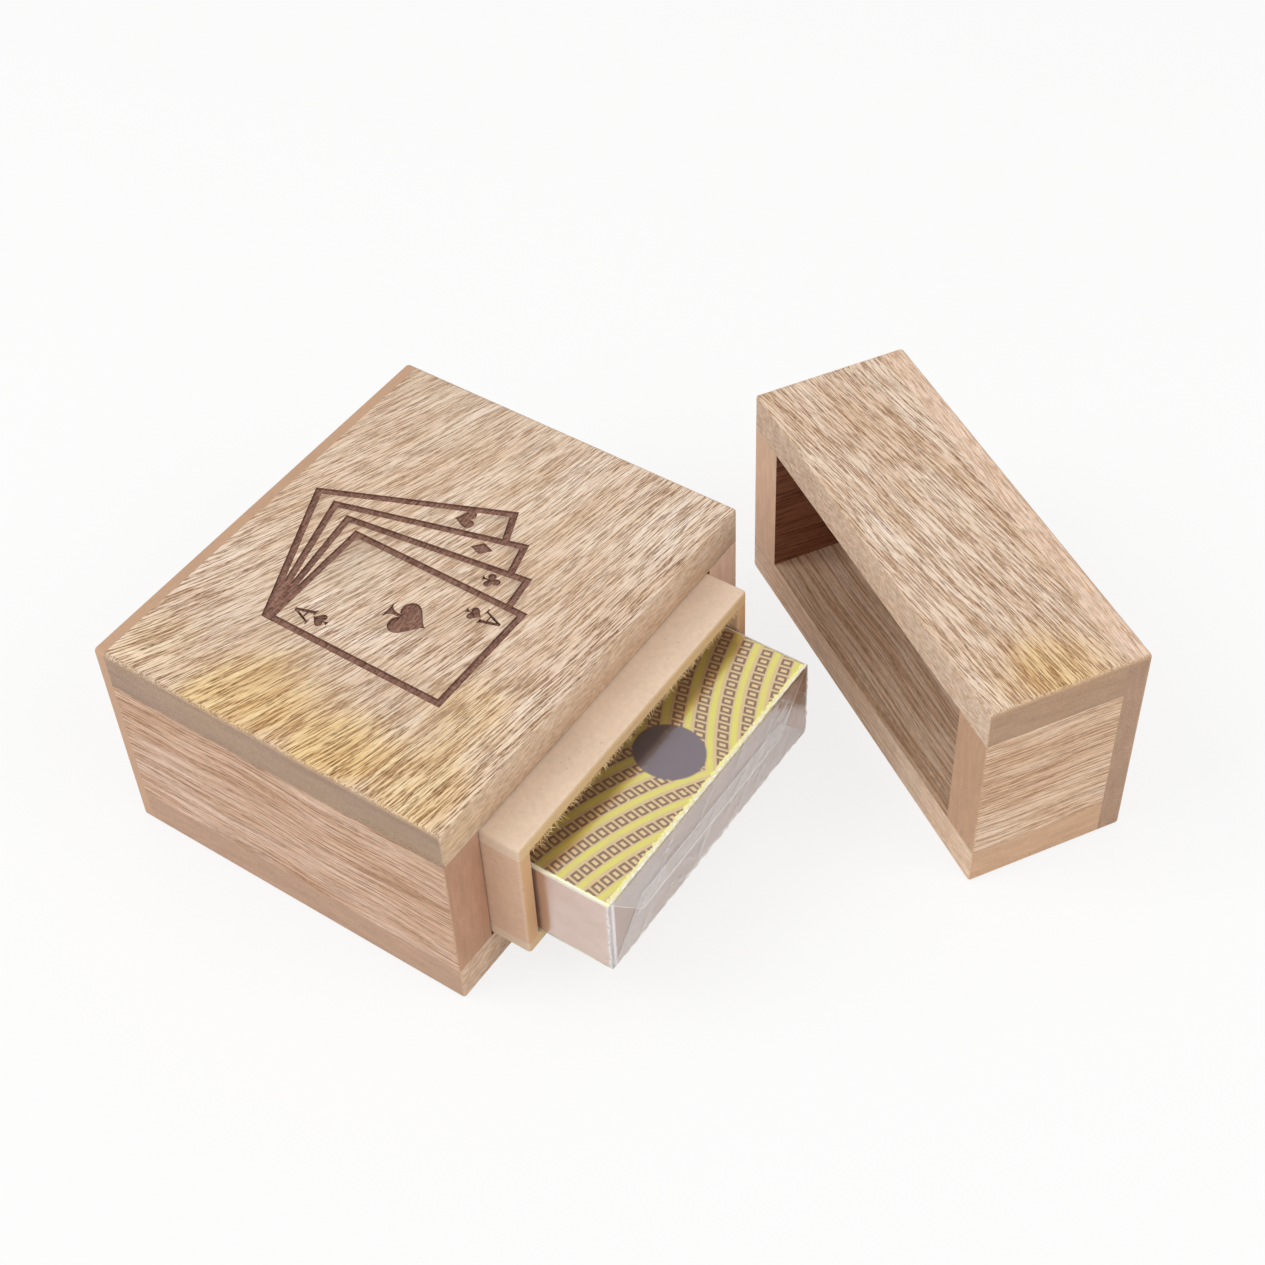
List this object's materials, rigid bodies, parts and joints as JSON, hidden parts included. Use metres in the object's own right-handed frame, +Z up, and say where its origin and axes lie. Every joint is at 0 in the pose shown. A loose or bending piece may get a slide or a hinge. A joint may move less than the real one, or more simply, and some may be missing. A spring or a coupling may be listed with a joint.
{
  "type": "playing card box",
  "caption": "Wooden card box of glued boards with a protruding inner sleeve that carries a sliding film-wrapped card pack, and a matching pull-off end cap standing apart.",
  "frame": {"origin": "centre of the box's bottom face, on the surface that it stands on", "axes": "+X is the way the card pack slides out of the box's mouth, +Y across the box towards the side where the cap stands, +Z up"},
  "size_m": [0.1614, 0.1501, 0.0488],
  "materials": {
    "solid_wood": "unvarnished light tropical hardwood, sanded",
    "fibreboard": "bare fibreboard, sawn and eased",
    "printed_card": "printed gold-coloured card",
    "card_stock": "smooth white card",
    "clear_film": "clear glossy film with folded ends"
  },
  "bodies": {
    "box": {"box_top_panel": "solid_wood", "box_bottom_panel": "solid_wood", "box_side_right": "solid_wood", "box_side_left": "solid_wood", "box_end_panel": "fibreboard", "sleeve_top": "fibreboard", "sleeve_bottom": "fibreboard", "sleeve_side_right": "fibreboard", "sleeve_side_left": "fibreboard"},
    "pack": {"tuck_case": "printed_card", "card_stack": "card_stock", "card_wrap": "clear_film"},
    "cap": {"cap_top_panel": "solid_wood", "cap_bottom_panel": "solid_wood", "cap_side_right": "solid_wood", "cap_side_left": "solid_wood", "cap_end_panel": "solid_wood"}
  },
  "joints": [
    {"name": "pack_slide", "type": "slide", "parent": "box", "child": "pack", "axis": [1, 0, 0], "range_m": [-0.0088, 0.028]},
    {"name": "cap_pull", "type": "slide", "parent": "box", "child": "cap", "axis": [0.5299, 0.848, 0], "range_m": [0, 0.045]}
  ]
}
